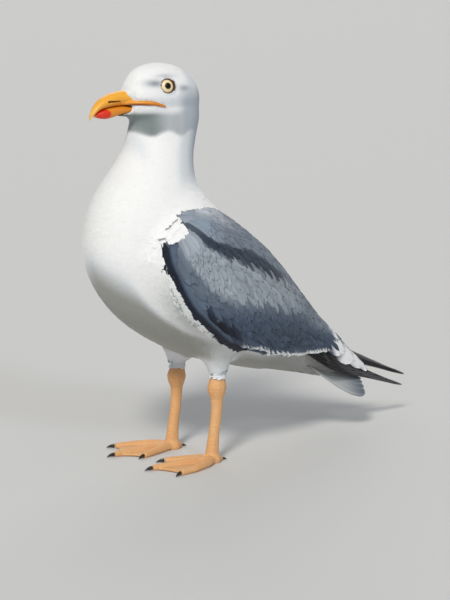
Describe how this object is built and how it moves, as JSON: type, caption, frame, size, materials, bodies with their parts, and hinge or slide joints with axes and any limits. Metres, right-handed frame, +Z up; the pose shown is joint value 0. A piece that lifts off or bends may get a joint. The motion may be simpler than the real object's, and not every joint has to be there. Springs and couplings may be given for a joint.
{
  "type": "gull",
  "caption": "Life-size standing gull with a white head and body, folded slate-grey wings with crossed black tips, a yellow hooked bill and webbed feet.",
  "frame": {"origin": "the middle of the bird's length and width, on the floor it stands on", "axes": "+X is the way the bird faces, +Y is its left and +Z is up"},
  "size_m": [0.3668, 0.1428, 0.3511],
  "materials": {
    "white_plumage": "soft matt feathers",
    "grey_plumage": "soft matt feathers with a faint sheen",
    "black_plumage": "close smooth flight feathers",
    "bill_horn": "polished horn",
    "eye": "wet and clear",
    "leg_skin": "fine scaly skin",
    "claw_horn": "dull polished horn"
  },
  "bodies": {
    "root": {"bill_lower": "bill_horn", "bill_upper": "bill_horn", "claw_left_hind": "claw_horn", "claw_left_inner": "claw_horn", "claw_left_middle": "claw_horn", "claw_left_outer": "claw_horn", "claw_right_hind": "claw_horn", "claw_right_inner": "claw_horn", "claw_right_middle": "claw_horn", "claw_right_outer": "claw_horn", "eye_left": "eye", "eye_right": "eye", "foot_left": "leg_skin", "foot_right": "leg_skin", "head": "white_plumage", "mantle": "grey_plumage", "neck": "white_plumage", "primaries_left": "black_plumage", "primaries_right": "black_plumage", "shank_left": "leg_skin", "shank_right": "leg_skin", "tail": "white_plumage", "tertials_left": "grey_plumage", "tertials_right": "grey_plumage", "thigh_left": "white_plumage", "thigh_right": "white_plumage", "trunk": "white_plumage", "wing_left": "grey_plumage", "wing_right": "grey_plumage"}
  },
  "joints": []
}
